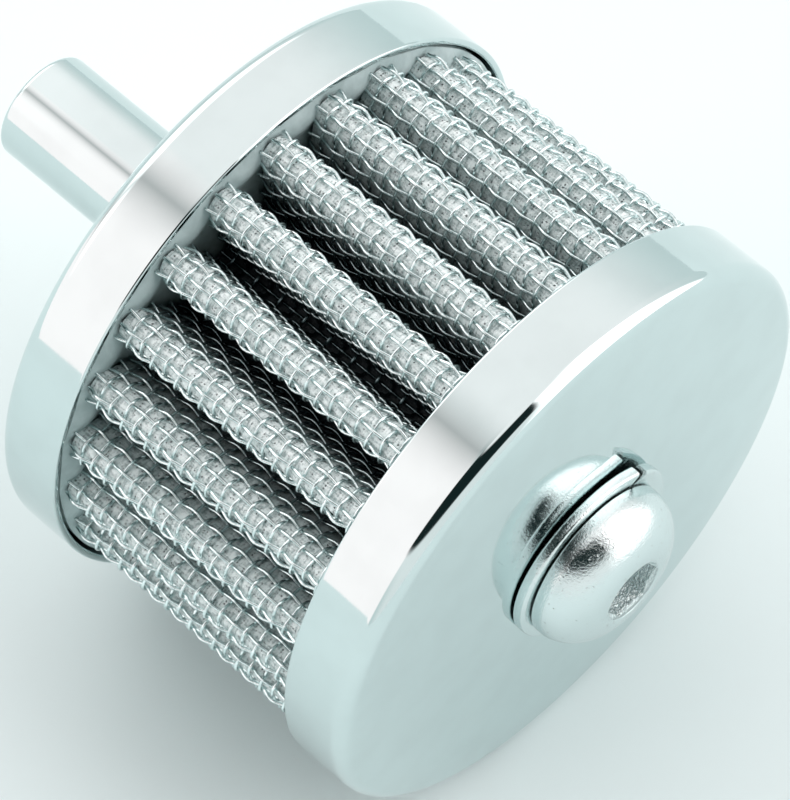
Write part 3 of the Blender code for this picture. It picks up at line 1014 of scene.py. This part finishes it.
def make_floor():
    mesh = bpy.data.meshes.new("studio_floor")
    work = bmesh.new()
    bmesh.ops.create_circle(work, cap_ends=True, segments=64, radius=2.0)
    bmesh.ops.translate(work, verts=work.verts, vec=(0, 0, FLOOR))
    work.to_mesh(mesh)
    work.free()
    floor = bpy.data.objects.new("studio_floor", mesh)
    bpy.context.scene.collection.objects.link(floor)
    paper = Finish("white_paper_floor", Roughness=0.9, Specular_IOR_Level=0.1)
    fibres = paper.bench.noise(paper.place(), 0.004, 2.0)
    paper.feed("Base Color", paper.bench.mix(fibres, (0.76, 0.88, 0.88), (0.74, 0.86, 0.86)))
    mesh.materials.append(paper.material)


def around(angle, start, end, soft):
    """1 where an angle in degrees lies between start and end, with soft edges."""
    return angle.between(start - soft, start + soft) * angle.between(end + soft, end - soft)


def make_studio_light():
    """A white room: a bright panel on the front right, one on the left and a dark opening in front.

    Bearings are counted in degrees from -Y towards +X, heights in degrees above the horizon.
    """
    world = bpy.data.worlds.new("studio")
    bpy.context.scene.world = world
    world.use_nodes = True
    bench = Bench(world.node_tree)
    direction = bench.node("ShaderNodeTexCoord", None, None, "Generated")
    x, y, z = (bench.axis(direction, name) for name in "XYZ")
    to_degrees = 180 / math.pi
    bearing = bench.math("ARCTAN2", x, -1 * y) * to_degrees
    height = bench.math("ARCSINE", z) * to_degrees
    right_wall = bench.mix(height.between(-2, 45), shown_in_chrome(206), shown_in_chrome(238))
    left_panel = around((bearing + 360) % 360, 195, 268, 4) * height.between(66, 60)
    room = bench.mix(left_panel, right_wall, shown_in_chrome(251))
    back_light = around((bearing + 360) % 360, 110, 250, 15) * around(height, 24, 82, 6)
    room = bench.mix(back_light * y.between(0.42, 0.6), room, (2.6, 2.4, 2.4))
    soft_box = around(bearing, 10, 74, 5) * height.between(74, 60)
    room = bench.mix(soft_box, room, (2.5, 2.3, 2.3))
    front_wall = around(bearing, -75, 10, 14) * height.between(34, 28)
    room = bench.mix(front_wall, room, shown_in_chrome(226))
    dark = around(bearing, -101, 9, 2.5) * around(height, 29, 70, 3)
    room = bench.mix(dark, room, shown_in_chrome(34))
    boom = (1 - (x + 0.33).size() / 0.28).highest(0) ** 2 * y.above(0) * z.above(0.2)
    room = bench.mix(boom * 0.6, room, shown_in_chrome(90))
    room = bench.mix(height.between(-1, -3), room, shown_in_chrome(242))
    background = world.node_tree.nodes["Background"]
    bench.plug(background.inputs["Color"], room)
    background.inputs["Strength"].default_value = STUDIO_STRENGTH


def make_camera():
    """Looks down on the front face from the left, with the rear cup at the upper left."""
    azimuth = math.radians(-46.007)
    elevation = math.radians(58.517)
    distance = 14.378 * CUP_RADIUS
    right = Vector((math.cos(azimuth), math.sin(azimuth), 0))
    level = Vector((math.sin(azimuth), -math.cos(azimuth), 0))
    back = level * math.cos(elevation) + Vector((0, 0, math.sin(elevation)))
    up = back.cross(right)
    aim = Vector((0, FRONT_FACE, 0)) - distance * (0.03765 * right - 0.02989 * up)
    data = bpy.data.cameras.new("studio_camera")
    data.lens = 215.38
    data.sensor_width = 36.0
    camera = bpy.data.objects.new("studio_camera", data)
    bpy.context.scene.collection.objects.link(camera)
    turn = Matrix((right, up, back)).transposed().to_4x4()
    camera.matrix_world = Matrix.Translation(aim + distance * back) @ turn
    bpy.context.scene.camera = camera


make_camera()
make_cups()
make_stem_tube()
make_gauze("gauze_cover", "gauze_outer_ply", GAUZE_DEPTH, GAUZE_PUFF)
make_gauze("gauze_lining", "gauze_inner_ply", LINING_DEPTH, 0.0)
make_weave()
make_sealant("rear_potting", REAR_FACE, REAR_LIP, "rear_sealant", -1)
make_sealant("front_potting", FRONT_FACE, FRONT_LIP, "front_sealant", 1)
make_lock_washer()
make_head()
make_threads()
finish_cad_nodes()
make_floor()
make_studio_light()
bpy.context.scene.view_settings.view_transform = "Standard"
